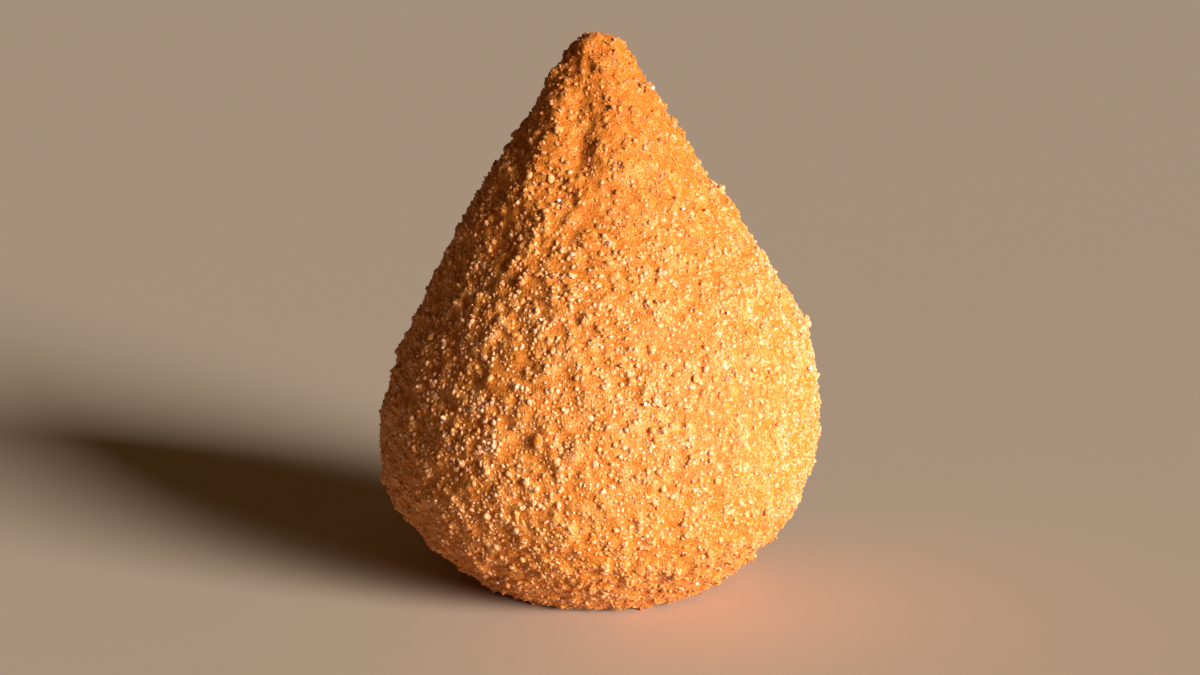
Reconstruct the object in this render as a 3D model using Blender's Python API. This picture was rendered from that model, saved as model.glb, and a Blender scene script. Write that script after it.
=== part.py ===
"""A coxinha: a tear-shaped fried croquette in a crust of breadcrumbs, standing on its flat base.

Metres, +Z up. The origin is under the middle of the croquette, which stands on z = 0. Its front is
towards -Y. The body is one outline turned about Z, then leaned, lumped and dented as a thing shaped by
hand is, and roughened by relief of the size of its breadcrumbs. The coarsest crumbs are fused onto it.
"""

import math
from dataclasses import dataclass

import bmesh
import bpy
import numpy as np
from mathutils import Matrix, Vector, noise

# Outline, from the tip down to the base
TIP_RADIUS = 0.0050
TIP_TURN = math.radians(57.3)
FLANK_LENGTH = 0.0356
SHOULDER_RADIUS = 0.0675
SHOULDER_TURN = math.radians(20.4)
BELLY_RADIUS = 0.0227
BELLY_TURN = math.radians(57.4)
UNDERSIDE_RADIUS = 0.052
UNDERSIDE_TURN = math.radians(12.6)
HEEL_RADIUS = 0.0030
HEEL_TURN = math.pi - TIP_TURN - SHOULDER_TURN - BELLY_TURN - UNDERSIDE_TURN
OUTLINE_STEP = 0.00005

# Facets of the body, and how far each is moved from an even spread, as a share of their spacing
BODY_POINTS = 3650
POINT_JITTER = 0.28

# The axis bends to +X above BOW_LEVEL and to -X below it
BOW = 0.0007
BOW_LEVEL = 0.028
BOW_WAVE = 0.056

# Relief: dents left by hands, clumps of crumbs, and single crumbs
DENT_DEPTH = 0.0009
DENT_SIZE = 0.016
CLUMP_DEPTH = 0.00045
CLUMP_SIZE = 0.0042
CRUMB_DEPTH = 0.00038
BASE_FADE = 0.005
SIDE_CLEARANCE = 0.0002

# Coarse crumbs fused onto the body. Of an even spread of places, those in a clump take one.
COARSE_PLACES = 320
COARSE_CLUMP_SIZE = 0.0095
COARSE_CLUMP_EDGE = 0.17
COARSE_RADIUS_LOW = 0.0009
COARSE_RADIUS_HIGH = 0.0015
COARSE_SINK = 0.12
COARSE_SQUASH = 0.70
COARSE_ROUGHNESS = 0.16
COARSE_LOWEST = 0.0022

SEED = 41
CRUST_COLOUR = (0.62, 0.27, 0.055, 1.0)
CRUST_ROUGHNESS = 0.62


@dataclass(frozen=True)
class Lump:
    """A place where the body swells, or sinks if the rise is negative.

    azimuth is in degrees from +X and level is the height of its middle. width is how far it reaches to
    each side, and length how far up and down.
    """

    azimuth: float
    level: float
    width: float
    length: float
    rise: float


LUMPS = (
    Lump(azimuth=0, level=0.0628, width=0.0080, length=0.0030, rise=-0.0004),
    Lump(azimuth=0, level=0.0572, width=0.0060, length=0.0020, rise=0.0009),
    Lump(azimuth=-4, level=0.0440, width=0.0070, length=0.0030, rise=0.0004),
    Lump(azimuth=0, level=0.0180, width=0.0160, length=0.0060, rise=-0.0008),
    Lump(azimuth=0, level=0.0068, width=0.0160, length=0.0030, rise=-0.0012),
    Lump(azimuth=-104, level=0.0700, width=0.0024, length=0.0080, rise=-0.0010),
    Lump(azimuth=-126, level=0.0690, width=0.0030, length=0.0070, rise=0.0006),
    Lump(azimuth=-85, level=0.0370, width=0.0030, length=0.0030, rise=-0.0007),
    Lump(azimuth=70, level=0.0520, width=0.0080, length=0.0110, rise=-0.0009),
)


def clear_scene():
    """Removes every object of the open file."""
    for obj in list(bpy.data.objects):
        bpy.data.objects.remove(obj, do_unlink=True)


def outline():
    """Returns the outline as rows of radius, height above the base and heading, from tip to base rim.

    The heading is the angle by which the outline has turned down from level. The flank is an arc that
    doesn't turn, so it is stepped by its length.
    """
    heading = 0.0
    rows = [(0.0, 0.0, 0.0)]
    stretches = (
        (TIP_RADIUS * TIP_TURN, TIP_TURN),
        (FLANK_LENGTH, 0.0),
        (SHOULDER_RADIUS * SHOULDER_TURN, SHOULDER_TURN),
        (BELLY_RADIUS * BELLY_TURN, BELLY_TURN),
        (UNDERSIDE_RADIUS * UNDERSIDE_TURN, UNDERSIDE_TURN),
        (HEEL_RADIUS * HEEL_TURN, HEEL_TURN),
    )
    for length, turn in stretches:
        steps = math.ceil(length / OUTLINE_STEP)
        for _ in range(steps):
            middle = heading + 0.5 * turn / steps
            radius, drop, _ = rows[-1]
            heading += turn / steps
            rows.append(
                (
                    radius + math.cos(middle) * length / steps,
                    drop + math.sin(middle) * length / steps,
                    heading,
                )
            )
    rows = np.array(rows)
    rows[:, 1] = rows[-1, 1] - rows[:, 1]
    return rows


def even_directions(count, rng):
    """Returns unit vectors spread evenly over a sphere along a golden spiral, then jittered."""
    index = np.arange(count) + 0.5
    rise = 1 - 2 * index / count
    turn = index * math.pi * (3 - math.sqrt(5))
    reach = np.sqrt(1 - rise**2)
    directions = np.stack([reach * np.cos(turn), reach * np.sin(turn), rise], axis=1)
    spacing = math.sqrt(4 * math.pi / count)
    directions += rng.normal(0, POINT_JITTER * spacing, directions.shape)
    return directions / np.linalg.norm(directions, axis=1, keepdims=True)


class Body:
    """Places points of a sphere on the croquette, so that even points stay even."""

    def __init__(self):
        self.rows = outline()
        radius = self.rows[:, 0]
        step = np.hypot(np.diff(radius), np.diff(self.rows[:, 1]))
        belts = math.pi * (radius[1:] + radius[:-1]) * step
        self.area = np.concatenate([[0.0], np.cumsum(belts)])
        self.side_area = self.area[-1]
        self.whole_area = self.side_area + math.pi * radius[-1] ** 2
        self.seed_shift = Vector((SEED, -SEED, 2 * SEED))

    def rough_point(self, direction, crumb_relief):
        """Returns the surface point and the outward direction there for a point of the unit sphere."""
        azimuth = math.atan2(direction[1], direction[0])
        area = (1 - direction[2]) / 2 * self.whole_area
        if area >= self.side_area:
            radius = math.sqrt(max(self.whole_area - area, 0.0) / math.pi)
            base = Vector((radius * math.cos(azimuth), radius * math.sin(azimuth), 0.0))
            return base, Vector((0.0, 0.0, -1.0))
        radius, level, heading = (np.interp(area, self.area, column) for column in self.rows.T)
        out = Vector((math.cos(azimuth), math.sin(azimuth), 0.0)) * math.sin(heading)
        out.z = math.cos(heading)
        smooth = Vector((radius * math.cos(azimuth), radius * math.sin(azimuth), level))
        relief = self.relief(smooth, azimuth) + crumb_relief
        point = smooth + out * relief * min(level / BASE_FADE, 1.0)
        point.x += BOW * math.sin(2 * math.pi * (level - BOW_LEVEL) / BOW_WAVE)
        point.z = max(point.z, SIDE_CLEARANCE)
        return point, out

    def relief(self, point, azimuth):
        """Returns how far the dents, lumps and clumps raise the surface at a point."""
        dents = noise.noise(point / DENT_SIZE + self.seed_shift) * DENT_DEPTH
        clumps = noise.noise(point / CLUMP_SIZE - self.seed_shift) * CLUMP_DEPTH
        lumps = 0.0
        for lump in LUMPS:
            turn = math.remainder(azimuth - math.radians(lump.azimuth), 2 * math.pi)
            across = turn * math.hypot(point.x, point.y) / lump.width
            along = (point.z - lump.level) / lump.length
            lumps += lump.rise * math.exp(-(across**2) - along**2)
        return dents + clumps + lumps


def body_mesh(body, rng):
    """Returns a bmesh of the croquette with relief of crumb size, and one face for its base."""
    directions = even_directions(BODY_POINTS, rng)
    crumb_relief = rng.uniform(-CRUMB_DEPTH, CRUMB_DEPTH, BODY_POINTS)
    bm = bmesh.new()
    for direction in directions:
        bm.verts.new(direction)
    bmesh.ops.convex_hull(bm, input=bm.verts[:])
    bm.verts.index_update()
    for vert, crumb in zip(bm.verts, crumb_relief, strict=True):
        vert.co, _ = body.rough_point(vert.co, crumb)
    base = [face for face in bm.faces if all(vert.co.z == 0.0 for vert in face.verts)]
    bmesh.ops.dissolve_faces(bm, faces=base, use_verts=True)
    bmesh.ops.recalc_face_normals(bm, faces=bm.faces[:])
    return bm


def add_crumb(bm, centre, out, radius, rng):
    """Adds one coarse crumb to a bmesh: a rough ball of 20 faces, flattened onto the surface."""
    ball = bmesh.ops.create_icosphere(bm, subdivisions=1, radius=radius)["verts"]
    turned = out.to_track_quat("Z", "Y").to_matrix()
    for vert in ball:
        vert.co *= 1 + rng.uniform(-COARSE_ROUGHNESS, COARSE_ROUGHNESS)
        vert.co.z *= COARSE_SQUASH
        vert.co = centre + turned @ vert.co


def crumb_objects(body, rng, collection):
    """Fills a collection with the coarse crumbs, one object each, in clumps that leave the base bare."""
    for direction in even_directions(COARSE_PLACES, rng):
        point, out = body.rough_point(direction, 0.0)
        if point.z < COARSE_LOWEST or noise.noise(point / COARSE_CLUMP_SIZE) < COARSE_CLUMP_EDGE:
            continue
        radius = rng.uniform(COARSE_RADIUS_LOW, COARSE_RADIUS_HIGH)
        bm = bmesh.new()
        add_crumb(bm, point - out * radius * COARSE_SINK, out, radius, rng)
        crumb = bpy.data.objects.new("crumb", finished_mesh(bm, "crumb"))
        collection.objects.link(crumb)


def finished_mesh(bm, name):
    """Writes a bmesh to a new mesh, frees it and returns the mesh."""
    mesh = bpy.data.meshes.new(name)
    bm.to_mesh(mesh)
    bm.free()
    return mesh


def drop_scraps(mesh):
    """Keeps only the largest of the bodies that a mesh holds."""
    bm = bmesh.new()
    bm.from_mesh(mesh)
    unseen = set(bm.verts)
    bodies = []
    while unseen:
        reached = [unseen.pop()]
        for vert in reached:
            near = {edge.other_vert(vert) for edge in vert.link_edges} & unseen
            unseen -= near
            reached.extend(near)
        bodies.append(reached)
    bodies.sort(key=len)
    for scrap in bodies[:-1]:
        bmesh.ops.delete(bm, geom=scrap, context="VERTS")
    bm.to_mesh(mesh)
    bm.free()


def centre_on_origin(mesh):
    """Moves a mesh so that the middle of its box is over the origin."""
    low = [min(vert.co[axis] for vert in mesh.vertices) for axis in range(2)]
    high = [max(vert.co[axis] for vert in mesh.vertices) for axis in range(2)]
    mesh.transform(Matrix.Translation((-(low[0] + high[0]) / 2, -(low[1] + high[1]) / 2, 0.0)))


def fuse(obj, collection):
    """Joins a collection's solids onto an object with one union, then removes them."""
    union = obj.modifiers.new("fused_crumbs", "BOOLEAN")
    union.operation = "UNION"
    union.operand_type = "COLLECTION"
    union.collection = collection
    union.solver = "EXACT"
    evaluated = obj.evaluated_get(bpy.context.evaluated_depsgraph_get())
    fused = bpy.data.meshes.new_from_object(evaluated)
    obj.modifiers.remove(union)
    obj.data = fused
    for part in list(collection.objects):
        bpy.data.objects.remove(part, do_unlink=True)
    bpy.data.collections.remove(collection)
    drop_scraps(fused)


def crust_material():
    """Returns the golden brown of the fried crust."""
    material = bpy.data.materials.new("fried_breadcrumb_crust")
    material.use_nodes = True
    shader = material.node_tree.nodes["Principled BSDF"]
    shader.inputs["Base Color"].default_value = CRUST_COLOUR
    shader.inputs["Roughness"].default_value = CRUST_ROUGHNESS
    shader.inputs["Metallic"].default_value = 0.0
    return material


def make_coxinha():
    """Builds the croquette as one solid, with its coarse crumbs fused on."""
    rng = np.random.default_rng(SEED)
    body = Body()
    coxinha = bpy.data.objects.new("coxinha", finished_mesh(body_mesh(body, rng), "coxinha"))
    bpy.context.scene.collection.objects.link(coxinha)
    crumbs = bpy.data.collections.new("coarse_crumbs")
    bpy.context.scene.collection.children.link(crumbs)
    crumb_objects(body, rng, crumbs)
    fuse(coxinha, crumbs)
    centre_on_origin(coxinha.data)
    coxinha.data.name = "coxinha"
    coxinha.data.materials.clear()
    coxinha.data.materials.append(crust_material())


def main():
    clear_scene()
    make_coxinha()


if __name__ == "__main__":
    main()
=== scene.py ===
"""The looks of a coxinha: a tear-shaped fried croquette in a crust of fine golden breadcrumbs.

The crust's bed keeps the form of the solid and is lumpy with crumbs that have fried together. On it lie
coarse, medium and fine crumbs in four shades, a few thin flakes and grains of salt. The crumbs of one
layer and one shade are one joined mesh at true size, and so are the flakes and the salt.
"""

import logging
import math
from dataclasses import dataclass, field
from enum import Enum
from typing import Any

import bmesh
import bpy
import numpy as np
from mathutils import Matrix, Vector, kdtree, noise


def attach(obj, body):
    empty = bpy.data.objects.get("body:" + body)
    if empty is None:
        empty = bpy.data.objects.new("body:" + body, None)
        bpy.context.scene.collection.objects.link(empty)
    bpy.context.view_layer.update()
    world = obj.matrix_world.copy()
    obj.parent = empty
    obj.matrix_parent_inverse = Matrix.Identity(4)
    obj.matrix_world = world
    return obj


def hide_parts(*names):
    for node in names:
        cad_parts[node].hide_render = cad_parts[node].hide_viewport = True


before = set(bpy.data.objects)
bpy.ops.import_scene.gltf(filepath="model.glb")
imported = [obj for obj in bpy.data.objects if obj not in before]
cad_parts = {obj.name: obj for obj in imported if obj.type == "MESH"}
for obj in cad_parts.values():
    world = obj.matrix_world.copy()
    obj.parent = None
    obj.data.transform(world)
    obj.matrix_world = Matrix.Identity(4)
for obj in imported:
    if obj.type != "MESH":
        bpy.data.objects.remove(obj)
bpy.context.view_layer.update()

SEED = 7
BODY = "root"
NODE = "coxinha"
TONE = "tone"
MM = 0.001

# The crust is made darker from TIP_LEVEL upwards, over TIP_DEPTH, and from FOOT_LEVEL downwards, where the
# darkening is painted shade.
TIP_LEVEL = 46.0 * MM
TIP_DEPTH = 34.0 * MM
FOOT_LEVEL = 18.0 * MM
FOOT_SHARE = 0.7

# How far a place may lie under the bed's face and still count as on it.
SKIN = 0.05 * MM

# Shifts that give each use of the noise a pattern of its own.
COVER_NOISE = 3.0
LUMP_NOISE = 5.0
SHADE_NOISE = 7.0

# Fried starch lets red light spread furthest inside, and frying oil bends light a little more than water.
SPREAD_OF_COLOURS = (1.0, 0.42, 0.12)
OIL_IOR = 1.47
OIL_ROUGHNESS = 0.15
FUZZ_ROUGHNESS = 0.4
FUZZ_COLOUR = "#FFE3C0"

# A point's mean distance from the middle of its grain, in widths of a grain.
MEAN_DISTANCE = 0.4

# Flat cuts that make a coarse crumb angular, and how far from its middle they lie.
CHUNK_CUTS = 7
CUT_DEPTHS = (0.30, 0.46)
FLAKE_THICKNESS = 0.3

log = logging.getLogger("coxinha")


def linear(colour: str) -> tuple[float, float, float, float]:
    """Turns an sRGB hex colour into linear red, green, blue and alpha.

    Args:
        colour: Six hex digits after a hash.

    Returns:
        The linear colour, fully opaque.
    """
    shares = [int(colour[start : start + 2], 16) / 255 for start in (1, 3, 5)]
    bent = [s / 12.92 if s <= 0.04045 else ((s + 0.055) / 1.055) ** 2.4 for s in shares]
    return (bent[0], bent[1], bent[2], 1.0)


def add_node(
    material: bpy.types.Material,
    kind: str,
    settings: dict[str, Any] | None = None,
    values: dict[str, Any] | None = None,
    links: dict[str, bpy.types.NodeSocket] | None = None,
) -> bpy.types.Node:
    """Adds one shader node to a material.

    Args:
        material: The material whose node tree takes the node.
        kind: The node's type name in Blender.
        settings: Properties of the node itself.
        values: Constants for its input sockets, by name or number.
        links: Output sockets of other nodes that feed its inputs, by name or number.

    Returns:
        The new node.
    """
    tree = material.node_tree
    node = tree.nodes.new(kind)
    for name, value in (settings or {}).items():
        setattr(node, name, value)
    for name, value in (values or {}).items():
        node.inputs[name].default_value = value
    for name, socket in (links or {}).items():
        tree.links.new(socket, node.inputs[name])
    return node


def set_ramp(node: bpy.types.Node, stops: dict[float, str]) -> None:
    """Sets a colour ramp's stops.

    Args:
        node: The colour ramp node.
        stops: An sRGB hex colour for each place from 0 to 1, in rising order.
    """
    elements = node.color_ramp.elements
    for place in list(stops)[2:]:
        elements.new(place)
    for element, (place, colour) in zip(elements, stops.items(), strict=True):
        element.position = place
        element.color = linear(colour)


@dataclass(frozen=True)
class FriedFinish:
    """Fried wheat breadcrumb: baked starch soaked with oil, matt and granular, with painted light on each
    grain's top and painted shade in the gap beside it.

    Attributes:
        name: The material's name.
        stops: Its colours, from the orange between grains to the palest grain.
        grain: Width in metres of the grains that it is made of.
        bump: Height in metres of those grains.
        uneven: How much paler the palest grains are than the others.
        rarity: How rare pale grains are.
        painted_gap_shade: How much the tone falls from a grain's top to the gap beside it: painted light on
            the top, painted shade in the gap.
        roughness: How dull its surface is.
        gloss: How much its surface mirrors, where 0.5 is plain.
        glow: Share of the light that spreads inside it.
        reach: How far red light spreads inside, in metres. Green and blue spread less.
        oil: Weight of the film of oil.
        fuzz: Weight of the pale light at its edges, where thin grains let light through.
    """

    name: str
    stops: dict[float, str]
    grain: float = 0.34 * MM
    bump: float = 0.05 * MM
    uneven: float = 0.45
    rarity: float = 1.6
    painted_gap_shade: float = 0.5
    roughness: float = 0.5
    gloss: float = 0.22
    glow: float = 0.3
    reach: float = 0.15 * MM
    oil: float = 0.08
    fuzz: float = 0.1

    def material(self) -> bpy.types.Material:
        """Builds the material, coloured by each crumb's tone and by the grains that it is made of.

        Returns:
            The finished material.
        """
        material = bpy.data.materials.new(self.name)
        material.use_nodes = True
        shader = material.node_tree.nodes["Principled BSDF"]
        grains = self.grains(material)
        bump = add_node(
            material,
            "ShaderNodeBump",
            {"invert": True},
            {"Strength": 1.0, "Distance": self.bump},
            {"Height": grains.outputs["Distance"]},
        )
        tree = material.node_tree
        tree.links.new(self.colour(material, grains), shader.inputs["Base Color"])
        tree.links.new(bump.outputs["Normal"], shader.inputs["Normal"])
        shader.inputs["Roughness"].default_value = self.roughness
        shader.inputs["IOR"].default_value = OIL_IOR
        shader.inputs["Specular IOR Level"].default_value = self.gloss
        shader.inputs["Subsurface Weight"].default_value = self.glow
        shader.inputs["Subsurface Radius"].default_value = SPREAD_OF_COLOURS
        shader.inputs["Subsurface Scale"].default_value = self.reach
        shader.inputs["Coat Weight"].default_value = self.oil
        shader.inputs["Coat Roughness"].default_value = OIL_ROUGHNESS
        shader.inputs["Sheen Weight"].default_value = self.fuzz
        shader.inputs["Sheen Roughness"].default_value = FUZZ_ROUGHNESS
        shader.inputs["Sheen Tint"].default_value = linear(FUZZ_COLOUR)
        return material

    def grains(self, material: bpy.types.Material) -> bpy.types.Node:
        """Adds the pattern of grains, a cell for each grain.

        Args:
            material: The material.

        Returns:
            The node that gives each grain a value, and the distance from its middle.
        """
        place = add_node(material, "ShaderNodeTexCoord")
        return add_node(
            material,
            "ShaderNodeTexVoronoi",
            values={"Scale": 1 / self.grain, "Randomness": 1.0},
            links={"Vector": place.outputs["Object"]},
        )

    def colour(self, material: bpy.types.Material, grains: bpy.types.Node) -> bpy.types.NodeSocket:
        """Adds the nodes that colour the surface by its tone and by its grains.

        Args:
            material: The material.
            grains: The node of its grains.

        Returns:
            The socket that gives the colour.
        """
        tone = add_node(material, "ShaderNodeAttribute", {"attribute_name": TONE})
        pale = add_node(
            material,
            "ShaderNodeMath",
            {"operation": "POWER"},
            {1: self.rarity},
            {0: grains.outputs["Color"]},
        )
        own = add_node(
            material, "ShaderNodeMath", {"operation": "MULTIPLY"}, {1: self.uneven}, {0: pale.outputs[0]}
        )
        # Painted light on each grain's top, falling to painted shade in the gap beside it.
        fall = add_node(
            material,
            "ShaderNodeMath",
            {"operation": "MULTIPLY_ADD"},
            {1: -self.painted_gap_shade, 2: MEAN_DISTANCE * self.painted_gap_shade},
            {0: grains.outputs["Distance"]},
        )
        local = add_node(
            material, "ShaderNodeMath", {"operation": "ADD"}, links={0: own.outputs[0], 1: fall.outputs[0]}
        )
        shade = add_node(
            material,
            "ShaderNodeMath",
            {"operation": "ADD", "use_clamp": True},
            links={0: tone.outputs["Fac"], 1: local.outputs[0]},
        )
        ramp = add_node(material, "ShaderNodeValToRGB", links={"Fac": shade.outputs[0]})
        set_ramp(ramp, self.stops)
        return ramp.outputs["Color"]


class CrumbShade(Enum):
    """The shades that crumbs fry to, each with its material's name and colours."""

    STRAW = ("straw_breadcrumb", {0.0: "#E08A20", 0.4: "#E6A064", 0.85: "#EEBC9A"})
    GOLDEN = ("golden_breadcrumb", {0.0: "#DC8018", 0.4: "#E09658", 0.85: "#E8B08E"})
    AMBER = ("amber_breadcrumb", {0.0: "#CE7014", 0.4: "#D6863C", 0.85: "#E0A27C"})
    TOASTED = ("toasted_breadcrumb", {0.0: "#A85810", 0.4: "#BC6E2E", 0.85: "#CC8E60"})

    def finish(self) -> FriedFinish:
        """Returns the finish of crumbs of this shade."""
        name, stops = self.value
        return FriedFinish(name, stops)


@dataclass
class Places:
    """Points on the bed, with the outward direction and the bed's tone at each.

    Attributes:
        points: One row of x, y and z for each point.
        outs: One unit vector for each point.
        tones: From 0 in the bed's deepest crevices to 1 on its highest lumps.
    """

    points: np.ndarray
    outs: np.ndarray
    tones: np.ndarray

    def pick(self, chosen: np.ndarray) -> "Places":
        """Returns the places that a mask or a list of numbers picks."""
        return Places(self.points[chosen], self.outs[chosen], self.tones[chosen])

    def thinned(self, spacing: float) -> "Places":
        """Drops the places that lie too close to an earlier one.

        Args:
            spacing: The least distance that is kept.

        Returns:
            The places that are left, in the same order.
        """
        tree = tree_of(self.points)
        kept = np.ones(len(self), bool)
        for index, point in enumerate(self.points):
            if kept[index]:
                for _, near, _ in tree.find_range(point, spacing):
                    kept[near] = near == index
        return self.pick(kept)

    def outside(self, bed: bpy.types.Mesh) -> "Places":
        """Drops the places that lie inside the bed.

        Args:
            bed: The bed's mesh.

        Returns:
            The places on the bed's face or outside it.
        """
        points, tree = vertices_of(bed), tree_of(vertices_of(bed))
        nearest = np.array([tree.find(point)[1] for point in self.points])
        away = np.einsum("ij,ij->i", self.points - points[nearest], normals_of(bed)[nearest])
        return self.pick(away > -SKIN)

    def nearest(self, azimuth: float, level: float) -> int:
        """Finds the place nearest to a direction and a height.

        Args:
            azimuth: The direction in degrees from +X towards +Y.
            level: The height.

        Returns:
            The number of the place.
        """
        turns = np.arctan2(self.points[:, 1], self.points[:, 0]) - math.radians(azimuth)
        across = np.sin(turns / 2) * 2 * np.hypot(self.points[:, 0], self.points[:, 1])
        return int(np.argmin(across**2 + (self.points[:, 2] - level) ** 2))

    def starting_at(self, spots: tuple["Spot", ...]) -> "Places":
        """Puts the place nearest to each spot first, so that thinning keeps it."""
        first = [self.nearest(spot.azimuth, spot.level) for spot in spots]
        return self.pick(np.concatenate([first, np.setdiff1d(np.arange(len(self)), first)]))

    def __len__(self) -> int:
        """Returns how many places there are."""
        return len(self.points)


class Surface:
    """The triangles of some meshes, on which places are drawn."""

    def __init__(self, meshes: list[bpy.types.Mesh]) -> None:
        """Reads the meshes' triangles, and their tones where they have one.

        Args:
            meshes: The meshes.
        """
        parts = [self.triangles_of(mesh) for mesh in meshes]
        self.corners = np.concatenate([corners for corners, _ in parts])
        self.tones = np.concatenate([tones for _, tones in parts])
        self.edges = self.corners[:, 1:] - self.corners[:, :1]
        self.normals = np.cross(self.edges[:, 0], self.edges[:, 1])
        self.doubled = np.linalg.norm(self.normals, axis=1)

    @staticmethod
    def triangles_of(mesh: bpy.types.Mesh) -> tuple[np.ndarray, np.ndarray]:
        """Reads a mesh's triangles.

        Args:
            mesh: The mesh.

        Returns:
            The three corners of each triangle, and the tone of each.
        """
        corners = corners_of(mesh)
        tones = np.zeros(len(mesh.vertices))
        if TONE in mesh.attributes:
            mesh.attributes[TONE].data.foreach_get("value", tones)
        return vertices_of(mesh)[corners], tones[corners].mean(axis=1)

    def scatter(self, count: int, rng: np.random.Generator) -> Places:
        """Draws places at random, evenly by area.

        Args:
            count: How many to draw.
            rng: The seeded source of chance.

        Returns:
            The places, with the triangles' normals and tones.
        """
        chosen = rng.choice(len(self.corners), count, p=self.doubled / self.doubled.sum())
        across, along = rng.random((2, count, 1))
        over = across + along > 1
        across, along = np.where(over, 1 - across, across), np.where(over, 1 - along, along)
        points = self.corners[chosen, 0] + across * self.edges[chosen, 0] + along * self.edges[chosen, 1]
        return Places(points, self.normals[chosen] / self.doubled[chosen, None], self.tones[chosen])


def vertices_of(mesh: bpy.types.Mesh) -> np.ndarray:
    """Reads a mesh's vertices.

    Args:
        mesh: The mesh.

    Returns:
        One row of x, y and z for each vertex.
    """
    spots = np.empty(len(mesh.vertices) * 3)
    mesh.vertices.foreach_get("co", spots)
    return spots.reshape(-1, 3)


def corners_of(mesh: bpy.types.Mesh) -> np.ndarray:
    """Reads the vertex numbers of a mesh's triangles.

    Args:
        mesh: The mesh.

    Returns:
        One row of three numbers for each triangle.
    """
    mesh.calc_loop_triangles()
    corners = np.empty(len(mesh.loop_triangles) * 3, np.int32)
    mesh.loop_triangles.foreach_get("vertices", corners)
    return corners.reshape(-1, 3)


def normals_of(mesh: bpy.types.Mesh) -> np.ndarray:
    """Works out the outward direction at each of a mesh's vertices, to the last digit the same in every run.

    Args:
        mesh: The mesh.

    Returns:
        One unit vector for each vertex.
    """
    points, corners = vertices_of(mesh), corners_of(mesh)
    first, second, third = (points[corners[:, corner]] for corner in range(3))
    faces = np.repeat(np.cross(second - first, third - first), 3, axis=0)
    sums = np.stack([np.bincount(corners.ravel(), side, len(points)) for side in faces.T], axis=1)
    return sums / np.linalg.norm(sums, axis=1, keepdims=True)


def tree_of(points: np.ndarray) -> kdtree.KDTree:
    """Builds a search tree of points.

    Args:
        points: One row of x, y and z for each point.

    Returns:
        The tree, which names points by their row.
    """
    tree = kdtree.KDTree(len(points))
    for index, point in enumerate(points):
        tree.insert(point, index)
    tree.balance()
    return tree


def tip_and_foot_darkening(points: np.ndarray) -> np.ndarray:
    """Works out how much darker the crust is made at some points: towards the tip, and at the foot as
    painted shade.

    Args:
        points: One row of x, y and z for each point.

    Returns:
        For each point 1 at the tip, FOOT_SHARE at the foot, and 0 between.
    """
    tip = np.clip((points[:, 2] - TIP_LEVEL) / TIP_DEPTH, 0, 1)
    return tip + FOOT_SHARE * np.clip(1 - points[:, 2] / FOOT_LEVEL, 0, 1)


def noise_at(points: np.ndarray, size: float, shift: float = 0.0) -> np.ndarray:
    """Returns smooth noise from about -1 to 1 at points, with features of a size in metres."""
    return np.array([noise.noise(Vector(point) / size + Vector((shift, 0, -shift))) for point in points])


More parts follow.
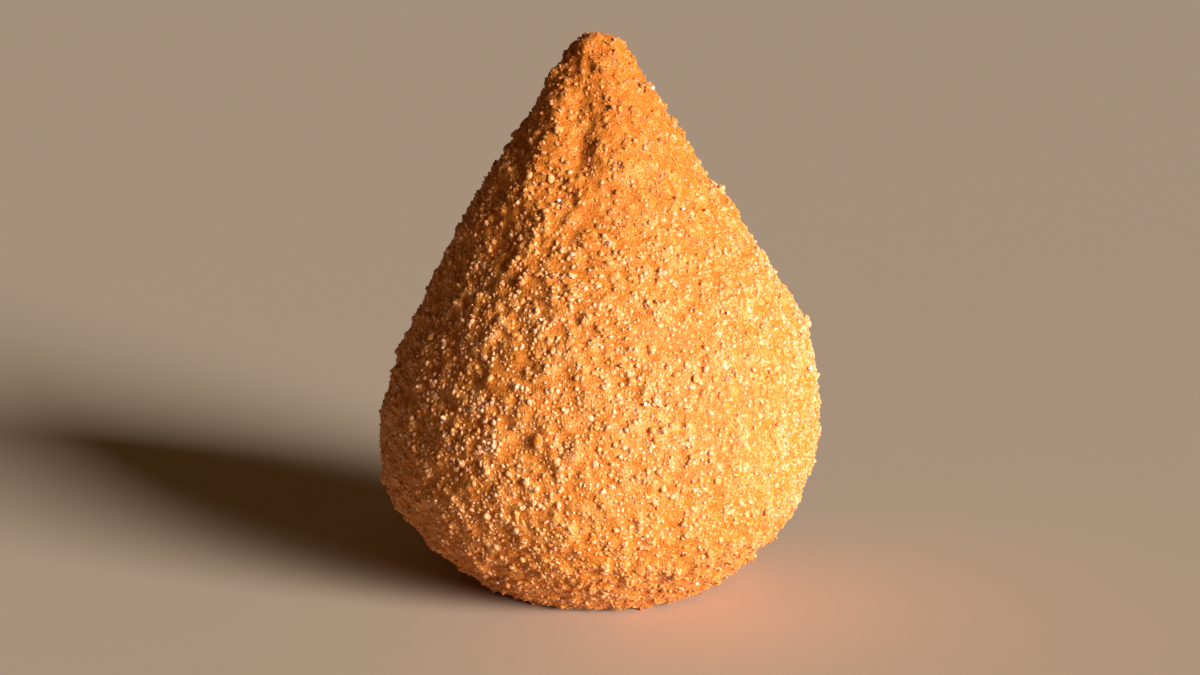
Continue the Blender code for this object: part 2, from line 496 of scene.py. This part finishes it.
@dataclass
class JoinedShapes:
    """Many small closed shapes as one mesh: copies of a few base shapes, each turned, sized and placed.

    Attributes:
        shapes: The base shapes, about 1 across, as arrays of vertices and triangles.
        painted_top_light: How much the tone rises from the foot of a copy to its top: painted shade at the
            foot, painted light on the top.
        painted_rim_light: How much the tone rises towards its corners, where it is thin: painted light
            shining through thin rims.
        smooth: Whether its facets shade into each other.
    """

    shapes: list[tuple[np.ndarray, np.ndarray]]
    painted_top_light: float = 0.25
    painted_rim_light: float = 0.7
    smooth: bool = False

    def mesh(
        self,
        name: str,
        places: Places,
        sizes: np.ndarray,
        tones: np.ndarray,
        rng: np.random.Generator,
        turns: np.ndarray | None = None,
    ) -> bpy.types.Mesh:
        """Joins one copy of a base shape at each place.

        Args:
            name: The mesh's name.
            places: Where the copies' middles go.
            sizes: Each copy's size in metres, along its three axes.
            tones: Each copy's tone from 0 to 1.
            rng: The seeded source of chance.
            turns: Each copy's rotation matrix, or None for random turns.

        Returns:
            The joined mesh, with the tone as a point attribute.
        """
        kinds = rng.integers(len(self.shapes), size=len(places))
        turns = self.random_turns(len(places), rng) if turns is None else turns
        points, faces, tone, total = [], [], [], 0
        for kind, (shape, triangles) in enumerate(self.shapes):
            chosen = np.flatnonzero(kinds == kind)
            local = shape[None] * sizes[chosen, None]
            turned = np.einsum("nij,nkj->nki", turns[chosen], local)
            height = np.einsum("nki,ni->nk", turned, places.outs[chosen])
            height = height / sizes[chosen].mean(axis=1)[:, None]
            points.append((turned + places.points[chosen, None]).reshape(-1, 3))
            first = total + np.arange(len(chosen))[:, None, None] * len(shape)
            faces.append((triangles[None] + first).reshape(-1, 3))
            # Corners that stick out get paler: painted light shining through thin rims.
            rim = np.linalg.norm(shape, axis=1) - np.linalg.norm(shape, axis=1).mean()
            # The rise with height paints shade at each copy's foot and light on its top.
            tone.append((tones[chosen, None] + self.painted_top_light * height + self.painted_rim_light * rim).ravel())
            total += len(chosen) * len(shape)
        mesh = self.joined(name, np.concatenate(points), np.concatenate(faces), np.concatenate(tone))
        mesh.polygons.foreach_set("use_smooth", np.full(len(mesh.polygons), self.smooth))
        return mesh

    @staticmethod
    def random_turns(count: int, rng: np.random.Generator) -> np.ndarray:
        """Draws rotations at random, evenly among all directions.

        Args:
            count: How many to draw.
            rng: The seeded source of chance.

        Returns:
            One rotation matrix each.
        """
        quaternions = rng.normal(size=(4, count))
        w, x, y, z = quaternions / np.linalg.norm(quaternions, axis=0)
        rows = (
            (1 - 2 * (y * y + z * z), 2 * (x * y - z * w), 2 * (x * z + y * w)),
            (2 * (x * y + z * w), 1 - 2 * (x * x + z * z), 2 * (y * z - x * w)),
            (2 * (x * z - y * w), 2 * (y * z + x * w), 1 - 2 * (x * x + y * y)),
        )
        return np.moveaxis(np.array(rows), 2, 0)

    @staticmethod
    def joined(name: str, points: np.ndarray, faces: np.ndarray, tone: np.ndarray) -> bpy.types.Mesh:
        """Writes points and triangles to a new mesh, none of it below the resting plane.

        Args:
            name: The mesh's name.
            points: Vertices, one row each.
            faces: Triangles, one row of vertex numbers each.
            tone: Each vertex's tone.

        Returns:
            The new mesh.
        """
        points[:, 2] = np.maximum(points[:, 2], 0.0)
        mesh = bpy.data.meshes.new(name)
        mesh.vertices.add(len(points))
        mesh.vertices.foreach_set("co", points.astype(np.float32).ravel())
        mesh.loops.add(faces.size)
        mesh.loops.foreach_set("vertex_index", faces.astype(np.int32).ravel())
        mesh.polygons.add(len(faces))
        mesh.polygons.foreach_set("loop_start", np.arange(0, faces.size, 3, dtype=np.int32))
        mesh.update(calc_edges=True)
        mesh.attributes.new(TONE, "FLOAT", "POINT").data.foreach_set("value", tone.astype(np.float32))
        return mesh


class Shape(Enum):
    """The balls that base shapes start from."""

    SPECK = "an octahedron, for the finest crumbs"
    CHIP = "a ball of 20 faces, for crumbs of a few facets"
    CHUNK = "a ball of 42 faces, cut flat here and there, for crumbs whose own form shows"
    FLAKE = "a thin disc"
    GRAIN = "a box, for salt"


def base_shape(kind: Shape, rng: np.random.Generator, roughness: float) -> tuple[np.ndarray, np.ndarray]:
    """Makes one base shape, about 1 across, with its corners moved at random.

    Args:
        kind: What it starts from.
        rng: The seeded source of chance.
        roughness: How far its corners are moved, as a share of its radius.

    Returns:
        Its vertices and its triangles.
    """
    bm = bmesh.new()
    if kind is Shape.SPECK:
        bmesh.ops.create_uvsphere(bm, u_segments=4, v_segments=2, radius=0.5)
    elif kind is Shape.CHIP:
        bmesh.ops.create_icosphere(bm, subdivisions=1, radius=0.5)
    elif kind is Shape.CHUNK:
        bmesh.ops.create_uvsphere(bm, u_segments=7, v_segments=4, radius=0.5)
    elif kind is Shape.FLAKE:
        bmesh.ops.create_uvsphere(bm, u_segments=9, v_segments=6, radius=0.5)
        bmesh.ops.scale(bm, vec=(1.0, 1.0, FLAKE_THICKNESS), verts=bm.verts[:])
    else:
        bmesh.ops.create_cube(bm, size=0.75)
    if kind is Shape.CHUNK:
        for direction in rng.normal(size=(CHUNK_CUTS, 3)):
            lean = Vector(direction).normalized()
            cut = rng.uniform(*CUT_DEPTHS)
            for vert in bm.verts:
                vert.co -= lean * max(vert.co.dot(lean) - cut, 0)
    for vert in bm.verts:
        vert.co *= 1 + rng.uniform(-roughness, roughness)
    bmesh.ops.triangulate(bm, faces=bm.faces[:])
    bmesh.ops.recalc_face_normals(bm, faces=bm.faces[:])
    bm.verts.index_update()
    shape = np.array([vert.co for vert in bm.verts])
    faces = [[vert.index for vert in face.verts] for face in bm.faces]
    turned = [face[face.index(min(face)) :] + face[: face.index(min(face))] for face in faces]
    bm.free()
    return shape, np.array(sorted(turned))


def finish_piece(mesh: bpy.types.Mesh, material: bpy.types.Material) -> bpy.types.Object:
    """Makes a mesh a piece of the croquette, with its material.

    Args:
        mesh: The piece's mesh, in place.
        material: Its only material.

    Returns:
        The piece.
    """
    piece = bpy.data.objects.new(mesh.name, mesh)
    bpy.context.scene.collection.objects.link(piece)
    mesh.materials.clear()
    mesh.materials.append(material)
    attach(piece, BODY)
    log.info("%s: %d faces", piece.name, len(mesh.polygons))
    return piece


@dataclass(frozen=True)
class Spot:
    """A place on the crust that the photograph shows.

    Attributes:
        azimuth: Its direction in degrees from +X towards +Y.
        level: Its height above the base.
        width: Its width.
    """

    azimuth: float
    level: float
    width: float


BARE_SPOTS = (
    Spot(azimuth=-27, level=52.4 * MM, width=2.2 * MM),
    Spot(azimuth=-76, level=40.4 * MM, width=1.8 * MM),
    Spot(azimuth=-89, level=40.0 * MM, width=1.6 * MM),
    Spot(azimuth=-51, level=17.1 * MM, width=2.0 * MM),
)
LARGE_CRUMBS = (
    Spot(azimuth=-5, level=77.6 * MM, width=1.5 * MM),
    Spot(azimuth=0, level=59.2 * MM, width=2.0 * MM),
    Spot(azimuth=-128, level=2.2 * MM, width=1.9 * MM),
)
LARGE_FLAKE = Spot(azimuth=-104, level=27.4 * MM, width=2.0 * MM)
SALT_GRAINS = (
    Spot(azimuth=-15, level=74.8 * MM, width=0.6 * MM),
    Spot(azimuth=-17, level=34.7 * MM, width=0.7 * MM),
)


@dataclass(frozen=True)
class LumpLayer:
    """Lumps of one size: crumbs that have fried together into angular clods.

    Attributes:
        spacing: Least distance between the middles of lumps.
        radius: Least and largest radius.
        height: Least and largest height.
        patch_size: Size of the patches where lumps are dense or sparse.
        cover: Share of the places that take a lump.
        faces: How many flat faces cut each lump's flanks.
        draws: Places drawn for each square of the spacing, before thinning.
        jitter: How far chance blurs the edges of the patches.
        bias: Shape of the spread of radii, where most lumps are small.
        steepness: How steeply a lump's flanks rise to its flat top.
    """

    spacing: float
    radius: tuple[float, float]
    height: tuple[float, float]
    patch_size: float
    cover: float
    faces: int = 5
    draws: float = 6.0
    jitter: float = 0.3
    bias: tuple[float, float] = (1.4, 2.4)
    steepness: float = 1.5

    def rise(
        self, surface: Surface, tree: kdtree.KDTree, spots: np.ndarray, rng: np.random.Generator
    ) -> np.ndarray:
        """Works out how far the lumps raise each of a mesh's vertices.

        Args:
            surface: The mesh's triangles.
            tree: Its vertices' search tree.
            spots: Its vertices, moved a little so that lumps aren't round.
            rng: The seeded source of chance.

        Returns:
            The rise at each vertex.
        """
        drawn = int(self.draws * surface.doubled.sum() / 2 / self.spacing**2)
        middles = surface.scatter(drawn, rng).thinned(self.spacing)
        wanted = noise_at(middles.points, self.patch_size, LUMP_NOISE)
        wanted += rng.uniform(-self.jitter, self.jitter, len(middles))
        middles = middles.pick(wanted > np.quantile(wanted, 1 - self.cover))
        radii = self.radius[0] + np.diff(self.radius)[0] * rng.beta(*self.bias, len(middles))
        heights = rng.uniform(*self.height, len(middles))
        leans = rng.normal(size=(len(middles), self.faces, 3))
        leans /= np.linalg.norm(leans, axis=2, keepdims=True)
        rise = np.zeros(len(spots))
        for middle, radius, height, lean in zip(middles.points, radii, heights, leans, strict=True):
            near = np.array([index for _, index, _ in tree.find_range(middle, radius)], int)
            away = (spots[near] - middle) / radius
            edge = np.maximum(np.linalg.norm(away, axis=1), (away @ lean.T).max(axis=1))
            rise[near] = np.maximum(rise[near], height * np.clip(self.steepness * (1 - edge), 0, 1))
        return rise


@dataclass
class CrustBed:
    """The crust under its loose-looking crumbs: the solid's form, rough with crumbs fried together.

    Attributes:
        voxel: Width of its facets.
        smoothing: How often its facets are averaged.
        inset: How far it lies inside the solid, to leave room for the crumbs.
        layers: Its lumps, the coarsest first.
        warp: How far a lump's outline strays, and the size of the strays.
        bare_depth: How deep the bare spots lie.
        crevice_shade_tone: Tone between lumps, low as painted shade in the crevices.
        lump_light_gain: How much higher the tone is on the highest lumps, as painted light on them.
        darken_tip_and_foot: How much the tone falls towards the tip and at the foot, where the darkening is
            painted shade.
        finish: The crust's finish between crumbs.
    """

    voxel: float = 0.49 * MM
    smoothing: int = 8
    inset: float = 0.42 * MM
    layers: tuple[LumpLayer, ...] = (
        LumpLayer(2.2 * MM, (1.0 * MM, 2.2 * MM), (0.10 * MM, 0.40 * MM), 5 * MM, 0.6),
        LumpLayer(1.2 * MM, (0.7 * MM, 1.3 * MM), (0.15 * MM, 0.45 * MM), 3 * MM, 0.7),
    )
    warp: tuple[float, float] = (0.3 * MM, 0.5 * MM)
    bare_depth: float = 0.25 * MM
    crevice_shade_tone: float = 0.1
    lump_light_gain: float = 0.6
    darken_tip_and_foot: float = 0.3
    finish: FriedFinish = field(
        default_factory=lambda: FriedFinish(
            name="fried_crust",
            stops={0.0: "#B8641A", 0.3: "#D07C2E", 0.6: "#DC9450", 1.0: "#E8B08E"},
            bump=0.10 * MM,
            gloss=0.15,
            glow=0.8,
            reach=0.7 * MM,
            oil=0.0,
            fuzz=0.1,
        )
    )

    def build(self, solid: bpy.types.Object, rng: np.random.Generator) -> bpy.types.Object:
        """Builds the bed from the solid and dresses it.

        Args:
            solid: The solid whose form it keeps.
            rng: The seeded source of chance.

        Returns:
            The finished piece.
        """
        mesh = self.even_mesh(solid)
        self.raise_lumps(mesh, rng)
        piece = finish_piece(mesh, self.finish.material())
        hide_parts(NODE)
        return piece

    def even_mesh(self, solid: bpy.types.Object) -> bpy.types.Mesh:
        """Copies the solid's form as a mesh of even facets, rounded between them.

        Args:
            solid: The solid.

        Returns:
            The new mesh.
        """
        bm = bmesh.new()
        bm.from_mesh(solid.data)
        bmesh.ops.remove_doubles(bm, verts=bm.verts[:], dist=0.001 * MM)
        rough = bpy.data.meshes.new("crust_form")
        bm.to_mesh(rough)
        bm.free()
        form = bpy.data.objects.new("crust_form", rough)
        bpy.context.scene.collection.objects.link(form)
        remesh = form.modifiers.new("even_facets", "REMESH")
        remesh.mode = "VOXEL"
        remesh.voxel_size = self.voxel
        smooth = form.modifiers.new("rounding", "SMOOTH")
        smooth.iterations = self.smoothing
        evaluated = form.evaluated_get(bpy.context.evaluated_depsgraph_get())
        mesh = bpy.data.meshes.new_from_object(evaluated)
        mesh.name = "fried_crust_bed"
        bpy.data.objects.remove(form)
        bpy.data.meshes.remove(rough)
        return mesh

    def raise_lumps(self, mesh: bpy.types.Mesh, rng: np.random.Generator) -> None:
        """Raises the mesh into lumps of crumbs, and notes their height as its tone, which paints shade in
        the crevices and light on the lumps.

        Args:
            mesh: The even mesh.
            rng: The seeded source of chance.
        """
        points = vertices_of(mesh)
        outs = normals_of(mesh)
        surface, tree = Surface([mesh]), tree_of(points)
        reach, size = self.warp
        spots = points + reach * np.array([noise.noise_vector(Vector(point) / size) for point in points])
        rise = sum(layer.rise(surface, tree, spots, rng) for layer in self.layers)
        highest = sum(layer.height[1] for layer in self.layers)
        for bare in BARE_SPOTS:
            middle = points[Places(points, outs, rise).nearest(bare.azimuth, bare.level)]
            fade = np.exp(-((np.linalg.norm(spots - middle, axis=1) / (bare.width / 2)) ** 4))
            rise = rise * (1 - fade) - self.bare_depth * fade
        raised = points + outs * (rise - self.inset)[:, None]
        raised[:, 2] = np.maximum(raised[:, 2], 0.0)
        mesh.vertices.foreach_set("co", raised.astype(np.float32).ravel())
        mesh.update()
        # Painted shade in the crevices between lumps, painted light on their tops.
        tone = np.clip(self.crevice_shade_tone + self.lump_light_gain * rise / highest, 0, 1)
        # Darker towards the tip; at the foot the darkening is painted shade.
        tone -= self.darken_tip_and_foot * tip_and_foot_darkening(points)
        mesh.attributes.new(TONE, "FLOAT", "POINT").data.foreach_set("value", tone.astype(np.float32))
        mesh.polygons.foreach_set("use_smooth", np.ones(len(mesh.polygons), bool))


@dataclass(frozen=True)
class CrumbLayer:
    """Crumbs of one coarseness, strewn over the bed and over the coarser crumbs.

    Attributes:
        name: What its pieces are called, before the shade.
        shape: The ball that each crumb starts from.
        spacing: Least distance between the middles of crumbs.
        width: Least and largest width of a crumb.
        patch_size: Size of the patches with many or few crumbs.
        cover: Share of the places that take a crumb.
        bare: Share of the deepest crevices that stay bare.
        sunk: Share of its width that a crumb's middle lies under the surface.
        rough: How far a crumb's corners stray, as a share of its radius.
        smooth: Whether its facets shade into each other.
        shares: Share of the crumbs in each shade.
        large: The crumbs that the photograph shows one by one.
        draws: Places drawn for each square of the spacing, before thinning.
        jitter: How far chance blurs the edges of the patches.
        bias: Shape of the spread of widths, where most crumbs are small.
        crevice_tone: Tone below which a place counts as a crevice.
        bed_tone: Share of the tone beneath it that a crumb takes on, so that crumbs carry the bed's painted
            shade in crevices and painted light on lumps.
        own_tone: How much crumbs differ in tone from each other.
        stretch: Least and largest size along each axis, as shares of the width.
        variants: How many base shapes each shade has.
    """

    name: str
    shape: Shape
    spacing: float
    width: tuple[float, float]
    patch_size: float
    cover: float
    bare: float
    sunk: float
    rough: float
    smooth: bool
    shares: dict[CrumbShade, float]
    large: tuple[Spot, ...] = ()
    draws: float = 2.5
    jitter: float = 0.4
    bias: tuple[float, float] = (1.3, 2.4)
    crevice_tone: float = 0.5
    bed_tone: float = 0.3
    own_tone: float = 0.4
    stretch: tuple[float, float] = (0.6, 1.3)
    variants: int = 24

    def places(
        self, surface: Surface, bed: bpy.types.Mesh, rng: np.random.Generator
    ) -> tuple[Places, np.ndarray]:
        """Draws the crumbs' places and widths.

        Args:
            surface: The triangles that they lie on.
            bed: The bed's mesh, which hides what is inside it.
            rng: The seeded source of chance.

        Returns:
            The places and each crumb's width.
        """
        drawn = int(self.draws * surface.doubled.sum() / 2 / self.spacing**2)
        places = surface.scatter(drawn, rng).outside(bed).thinned(self.spacing)
        wanted = noise_at(places.points, self.patch_size, COVER_NOISE)
        wanted += rng.uniform(-self.jitter, self.jitter, len(places))
        crevice = np.clip(1 - places.tones / self.crevice_tone, 0, 1)
        wanted[rng.random(len(places)) < self.bare * crevice] = -math.inf
        low, high = self.width
        widths = low + (high - low) * rng.beta(*self.bias, len(places))
        for crumb in self.large:
            index = places.nearest(crumb.azimuth, crumb.level)
            wanted[index] = math.inf
            widths[index] = crumb.width
        kept = wanted > np.quantile(wanted[np.isfinite(wanted)], 1 - self.cover)
        places, widths = places.pick(kept), widths[kept]
        places.points -= places.outs * (self.sunk * widths)[:, None]
        return places, widths

    def build(
        self,
        surface: Surface,
        bed: bpy.types.Mesh,
        order: "ShadeOrder",
        materials: dict[CrumbShade, bpy.types.Material],
        rng: np.random.Generator,
    ) -> list[bpy.types.Mesh]:
        """Builds the layer, one piece a shade.

        Args:
            surface: The triangles that the crumbs lie on.
            bed: The bed's mesh.
            order: What decides where each shade lies.
            materials: Each shade's material.
            rng: The seeded source of chance.

        Returns:
            The pieces' meshes.
        """
        places, widths = self.places(surface, bed, rng)
        ranks = order.ranks(places, rng)
        # Crumbs take on part of the painted shade and light of the tone beneath them.
        tones = self.bed_tone * places.tones + rng.uniform(0.0, self.own_tone, len(places))
        sizes = widths[:, None] * rng.uniform(*self.stretch, (len(places), 3))
        meshes, start = [], 0.0
        for shade, share in self.shares.items():
            chosen = (ranks >= start) & (ranks < start + share)
            start += share
            variants = [base_shape(self.shape, rng, self.rough) for _ in range(self.variants)]
            shapes = JoinedShapes(variants, smooth=self.smooth)
            name = f"{self.name}_{shade.name.lower()}"
            mesh = shapes.mesh(name, places.pick(chosen), sizes[chosen], tones[chosen], rng)
            finish_piece(mesh, materials[shade])
            meshes.append(mesh)
        return meshes


@dataclass(frozen=True)
class ShadeOrder:
    """What decides where crumbs of each shade lie: small patches, and darker crumbs towards the tip and, as
    painted shade, at the foot.

    Attributes:
        patch_size: Size of the patches where one shade prevails.
        patchiness: How strongly it prevails there.
        jitter: How far chance blurs the patches.
        darken_tip_and_foot: How much darker they are towards the tip and at the foot, where the darkening is
            painted shade.
    """

    patch_size: float = 1.6 * MM
    patchiness: float = 0.8
    jitter: float = 0.5
    darken_tip_and_foot: float = 1.6

    def ranks(self, places: Places, rng: np.random.Generator) -> np.ndarray:
        """Ranks places from the palest crumb to the brownest.

        Args:
            places: The crumbs' places.
            rng: The seeded source of chance.

        Returns:
            Each place's rank from 0 for the palest to 1 for the brownest.
        """
        order = self.patchiness * noise_at(places.points, self.patch_size, SHADE_NOISE)
        order += rng.uniform(-self.jitter, self.jitter, len(places))
        # Darker crumbs towards the tip; at the foot they are painted shade.
        order += self.darken_tip_and_foot * tip_and_foot_darkening(places.points)
        return np.argsort(np.argsort(order)) / len(order)


@dataclass
class CrumbCoat:
    """The crumbs that lie on the bed: three layers of them, and flakes and salt.

    Attributes:
        layers: The layers, the coarsest first.
        order: What decides where each shade lies.
        raised: How far flakes and salt stand out of the bed.
        flake_spacing: Least distance between flakes.
        flake_size: Least and largest width of a flake.
        flake_stretch: Its least and largest size along each axis, as shares of the width.
        flake_finish: The flakes' finish, that of golden crumbs.
        salt_spacing: Least distance between grains of salt.
        salt_size: Least and largest width of a grain.
        salt_finish: The finish of salt, white and smoother than bread.
        draws: Places drawn for flakes and for salt, before thinning.
    """

    layers: tuple[CrumbLayer, ...] = (
        CrumbLayer(
            name="coarse_crumbs",
            shape=Shape.CHUNK,
            spacing=1.25 * MM,
            width=(0.8 * MM, 1.8 * MM),
            patch_size=4.0 * MM,
            cover=0.68,
            bare=0.0,
            sunk=0.26,
            rough=0.22,
            smooth=True,
            shares={
                CrumbShade.STRAW: 0.2,
                CrumbShade.GOLDEN: 0.4,
                CrumbShade.AMBER: 0.3,
                CrumbShade.TOASTED: 0.1,
            },
            large=LARGE_CRUMBS,
        ),
        CrumbLayer(
            name="medium_crumbs",
            shape=Shape.CHIP,
            spacing=0.58 * MM,
            width=(0.5 * MM, 1.2 * MM),
            patch_size=2.2 * MM,
            cover=0.86,
            bare=0.5,
            sunk=0.2,
            rough=0.25,
            smooth=True,
            shares={
                CrumbShade.STRAW: 0.2,
                CrumbShade.GOLDEN: 0.36,
                CrumbShade.AMBER: 0.28,
                CrumbShade.TOASTED: 0.16,
            },
        ),
        CrumbLayer(
            name="fine_crumbs",
            shape=Shape.SPECK,
            spacing=0.36 * MM,
            width=(0.3 * MM, 0.7 * MM),
            patch_size=1.2 * MM,
            cover=0.6,
            bare=0.9,
            sunk=0.2,
            rough=0.3,
            smooth=True,
            shares={
                CrumbShade.STRAW: 0.24,
                CrumbShade.GOLDEN: 0.34,
                CrumbShade.AMBER: 0.25,
                CrumbShade.TOASTED: 0.17,
            },
        ),
    )
    order: ShadeOrder = ShadeOrder()
    raised: float = 0.4 * MM
    flake_spacing: float = 20.0 * MM
    flake_size: tuple[float, float] = (0.9 * MM, 1.7 * MM)
    flake_stretch: tuple[tuple[float, float, float], ...] = ((0.7, 0.9, 0.9), (1.0, 1.1, 1.1))
    flake_finish: FriedFinish = FriedFinish("bread_crust_flake", CrumbShade.GOLDEN.value[1])
    salt_spacing: float = 16.0 * MM
    salt_size: tuple[float, float] = (0.25 * MM, 0.5 * MM)
    salt_finish: FriedFinish = FriedFinish("sea_salt", {0.0: "#F3E6D2", 1.0: "#FFFDF8"}, roughness=0.25)
    draws: tuple[int, int] = (4000, 3000)

    def build(self, bed: bpy.types.Object, rng: np.random.Generator) -> None:
        """Builds each kind of crumb.

        Args:
            bed: The crust's bed.
            rng: The seeded source of chance.
        """
        materials = {shade: shade.finish().material() for shade in CrumbShade}
        beneath = [bed.data]
        for layer in self.layers:
            beneath += layer.build(Surface(beneath), bed.data, self.order, materials, rng)
        surface = Surface([bed.data])
        self.flakes(surface, rng)
        self.salt(surface, rng)

    def flakes(self, surface: Surface, rng: np.random.Generator) -> None:
        """Builds the thin flakes that lie flat on the crust.

        Args:
            surface: The bed's triangles.
            rng: The seeded source of chance.
        """
        drawn = surface.scatter(self.draws[0], rng)
        places = drawn.starting_at((LARGE_FLAKE,)).thinned(self.flake_spacing)
        widths = rng.uniform(*self.flake_size, len(places))
        widths[0] = LARGE_FLAKE.width
        places.points += places.outs * self.raised
        sizes = widths[:, None] * rng.uniform(*self.flake_stretch, (len(places), 3))
        # The flakes get a strong painted light at their thin rims.
        shapes = JoinedShapes([base_shape(Shape.FLAKE, rng, 0.1) for _ in range(8)], painted_rim_light=1.6)
        turns = np.array([Vector(out).to_track_quat("Z", "Y").to_matrix() for out in places.outs])
        tones = rng.uniform(0.0, 0.3, len(places))
        mesh = shapes.mesh("crust_flakes", places, sizes, tones, rng, turns)
        finish_piece(mesh, self.flake_finish.material())

    def salt(self, surface: Surface, rng: np.random.Generator) -> None:
        """Builds the few white grains of salt.

        Args:
            surface: The bed's triangles.
            rng: The seeded source of chance.
        """
        places = surface.scatter(self.draws[1], rng).starting_at(SALT_GRAINS).thinned(self.salt_spacing)
        widths = rng.uniform(*self.salt_size, len(places))
        widths[: len(SALT_GRAINS)] = [grain.width for grain in SALT_GRAINS]
        places.points += places.outs * self.raised
        sizes = widths[:, None] * rng.uniform(0.8, 1.2, (len(places), 3))
        shapes = JoinedShapes([base_shape(Shape.GRAIN, rng, 0.08) for _ in range(6)])
        tones = rng.uniform(0.3, 1, len(places))
        mesh = shapes.mesh("salt_grains", places, sizes, tones, rng)
        finish_piece(mesh, self.salt_finish.material())


@dataclass
class Studio:
    """The pale floor, the soft light and the camera at the photograph's angle.

    Attributes:
        aim: The point that the camera looks at.
        distance: From the camera to that point.
        elevation: The camera's angle above level, in degrees.
        lens: Focal length in millimetres on a sensor 36 mm wide.
        floor_size: Width of the floor.
        floor_colour: Its colour.
        air_colour: Colour of the weak light from all round.
        air_strength: Its strength.
    """

    aim: tuple[float, float, float] = (0.0001, 0.0, 0.0372)
    distance: float = 0.348
    elevation: float = 12.0
    lens: float = 70.0
    floor_size: float = 8.0
    floor_colour: str = "#D0B89E"
    air_colour: str = "#FFC480"
    air_strength: float = 0.062

    def build(self) -> None:
        """Builds the floor, the lights and the camera."""
        self.add_floor()
        self.add_world()
        self.add_light("key", azimuth=-41, elevation=12, spread=30, strength=8.6)
        self.add_camera()

    def add_floor(self) -> None:
        """Adds the floor, a plain pale sheet with a matte face."""
        bm = bmesh.new()
        bmesh.ops.create_grid(bm, x_segments=1, y_segments=1, size=self.floor_size / 2)
        mesh = bpy.data.meshes.new("floor")
        bm.to_mesh(mesh)
        bm.free()
        floor = bpy.data.objects.new("floor", mesh)
        bpy.context.scene.collection.objects.link(floor)
        paper = bpy.data.materials.new("pale_paper")
        paper.use_nodes = True
        shader = paper.node_tree.nodes["Principled BSDF"]
        shader.inputs["Base Color"].default_value = linear(self.floor_colour)
        shader.inputs["Roughness"].default_value = 0.7
        mesh.materials.append(paper)

    def add_world(self) -> None:
        """Adds weak even light from all round."""
        world = bpy.data.worlds.new("studio")
        world.use_nodes = True
        background = world.node_tree.nodes["Background"]
        background.inputs["Color"].default_value = linear(self.air_colour)
        background.inputs["Strength"].default_value = self.air_strength
        bpy.context.scene.world = world

    def add_light(self, name: str, azimuth: float, elevation: float, spread: float, strength: float) -> None:
        """Adds a light so far away that it falls evenly on the croquette and the floor.

        Args:
            name: The light's name.
            azimuth: Its direction in degrees from +X towards +Y.
            elevation: Its angle above level, in degrees.
            spread: How wide it looks from the croquette, in degrees.
            strength: Its strength in watts on a square metre that faces it.
        """
        light = bpy.data.lights.new(name, "SUN")
        light.angle = math.radians(spread)
        light.energy = strength
        lamp = bpy.data.objects.new(name, light)
        turn, lift = math.radians(azimuth), math.radians(elevation)
        away = Vector((math.cos(turn) * math.cos(lift), math.sin(turn) * math.cos(lift), math.sin(lift)))
        lamp.location = Vector(self.aim) + away
        lamp.rotation_euler = away.to_track_quat("Z", "Y").to_euler()
        bpy.context.scene.collection.objects.link(lamp)

    def add_camera(self) -> None:
        """Adds the camera in front of the croquette, a little above it."""
        camera = bpy.data.cameras.new("camera")
        camera.lens = self.lens
        camera.clip_start = 0.01
        viewer = bpy.data.objects.new("camera", camera)
        lift = math.radians(self.elevation)
        away = Vector((0.0, -math.cos(lift), math.sin(lift)))
        viewer.location = Vector(self.aim) + away * self.distance
        viewer.rotation_euler = away.to_track_quat("Z", "Y").to_euler()
        bpy.context.scene.collection.objects.link(viewer)
        bpy.context.scene.camera = viewer


def main() -> None:
    """Builds the crust, its crumbs and the studio."""
    logging.basicConfig(level=logging.INFO, format="%(name)s: %(message)s")
    noise.seed_set(SEED)
    rng = np.random.default_rng(SEED)
    bed = CrustBed().build(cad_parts[NODE], rng)
    CrumbCoat().build(bed, rng)
    Studio().build()
    bpy.context.scene.view_settings.view_transform = "Standard"


if __name__ == "__main__":
    main()
